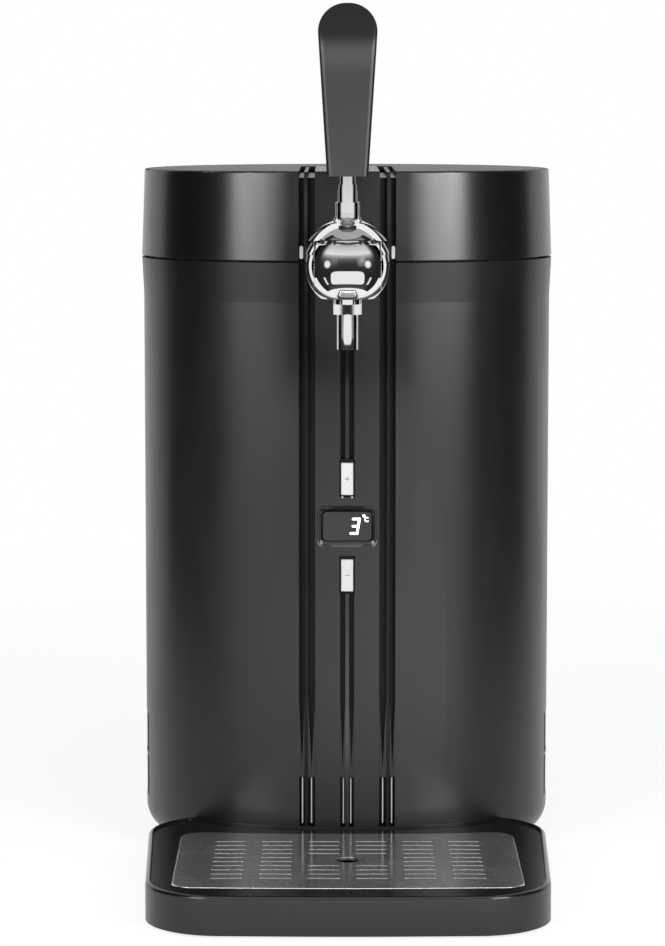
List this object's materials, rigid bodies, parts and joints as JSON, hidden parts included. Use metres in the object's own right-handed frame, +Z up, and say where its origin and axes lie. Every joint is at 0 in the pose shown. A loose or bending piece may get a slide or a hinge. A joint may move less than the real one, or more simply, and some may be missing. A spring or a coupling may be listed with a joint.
{
  "type": "mini keg beer dispenser",
  "caption": "Counter-top cooler for a small beer keg with a hinged lid, ball-shaped tap with lever handle, display and buttons, and a separate drip tray.",
  "frame": {"origin": "centre of the whole footprint, drip tray and lid hinge included, at floor level", "axes": "+Z up, -Y towards the person at the tap, +X to that person's right"},
  "size_m": [0.2624, 0.452, 0.5329],
  "materials": {
    "housing_grey": "fine satin",
    "lid_grey": "semi gloss",
    "gloss_black": "high gloss",
    "handle_charcoal": "soft satin",
    "button_white": "satin",
    "window_smoke": "polished",
    "tap_chrome": "mirror polished",
    "well_aluminium": "satin anodised",
    "deck_grey": "satin",
    "foam_white": "rigid foam",
    "rubber_black": "matt",
    "hose_clear": "smooth",
    "inner_black": "fine texture",
    "board_green": "solder resist",
    "parts_black": "moulded",
    "ceramic_white": "ceramic",
    "screw_steel": "zinc plated",
    "insert_brass": "turned",
    "grille_metal": "metallic lacquer",
    "tray_grey": "satin"
  },
  "bodies": {
    "housing": {"front_shell": "housing_grey", "rear_cover": "housing_grey", "control_band": "housing_grey", "front_spine": "gloss_black", "display_window": "window_smoke", "display_module": "parts_black", "control_board": "board_green", "tact_switches": "parts_black", "left_side_vent": "inner_black", "right_side_vent": "inner_black", "rear_vent_grille": "inner_black", "top_deck": "deck_grey", "keg_well": "well_aluminium", "well_insulation": "foam_white", "cold_block": "well_aluminium", "peltier_module": "ceramic_white", "heat_sink": "well_aluminium", "heat_sink_screws": "screw_steel", "fan_frame": "inner_black", "fan_screws": "screw_steel", "base_pan": "inner_black", "rubber_feet": "rubber_black", "power_board": "board_green", "transformer": "parts_black", "capacitors": "parts_black", "power_inlet": "inner_black", "switch_housing": "inner_black", "deck_gasket": "rubber_black", "beer_line": "hose_clear", "keg_coupler": "deck_grey", "tap_bracket": "screw_steel", "bracket_screws": "screw_steel", "shank_nut": "screw_steel", "tap_shank": "tap_chrome", "tap_escutcheon": "tap_chrome", "tap_body": "tap_chrome", "spout_nut": "tap_chrome", "spout_tube": "tap_chrome", "plunger_spring": "screw_steel", "hinge_bracket": "inner_black", "hinge_pin": "screw_steel"},
    "lid": {"lid_cover": "lid_grey", "lid_band": "housing_grey", "lid_spine": "gloss_black", "lid_insulation": "foam_white", "lid_inner_panel": "deck_grey", "lid_hinge_arm": "inner_black"},
    "lever": {"lever_yoke": "tap_chrome", "yoke_pins": "tap_chrome", "lever_stem": "tap_chrome", "handle_insert": "insert_brass", "tap_handle": "handle_charcoal"},
    "plunger": {"tap_plunger": "rubber_black"},
    "plus_key": {"plus_button": "button_white"},
    "minus_key": {"minus_button": "button_white"},
    "tray": {"drip_tray": "tray_grey", "tray_feet": "rubber_black"},
    "grille": {"drip_grille": "grille_metal"},
    "fan": {"fan_rotor": "inner_black"},
    "rocker": {"switch_rocker": "gloss_black"}
  },
  "joints": [
    {"name": "lid hinge", "type": "hinge", "parent": "housing", "child": "lid", "pos_m": [0, 0.22099, 0.38], "axis": [-1, 0, 0], "range_deg": [0, 85]},
    {"name": "tap lever", "type": "hinge", "parent": "housing", "child": "lever", "pos_m": [0, -0.06401, 0.3754], "axis": [1, 0, 0], "range_deg": [0, 40]},
    {"name": "valve plunger", "type": "slide", "parent": "housing", "child": "plunger", "axis": [0, 0, 1], "range_m": [0, 0.005], "deforming": ["plunger_spring"]},
    {"name": "plus button", "type": "slide", "parent": "housing", "child": "plus_key", "axis": [0, 1, 0], "range_m": [0, 0.0008], "stiffness_N_per_m": 400},
    {"name": "minus button", "type": "slide", "parent": "housing", "child": "minus_key", "axis": [0, 1, 0], "range_m": [0, 0.0008], "stiffness_N_per_m": 400},
    {"name": "drip tray slide", "type": "slide", "parent": "housing", "child": "tray", "axis": [0, -1, 0], "range_m": [0, 0.05]},
    {"name": "grille lift", "type": "slide", "parent": "tray", "child": "grille", "axis": [0, 0, 1], "range_m": [0, 0.03]},
    {"name": "fan spin", "type": "hinge", "parent": "housing", "child": "fan", "pos_m": [0, 0.18699, 0.052], "axis": [0, 1, 0], "continuous": true},
    {"name": "power rocker", "type": "hinge", "parent": "housing", "child": "rocker", "pos_m": [0.021, 0.21199, 0.113], "axis": [1, 0, 0], "range_deg": [0, 16]}
  ],
  "couplings": [
    {"joint": "valve plunger", "follows": "tap lever", "m_per_rad": 0.00716}
  ]
}
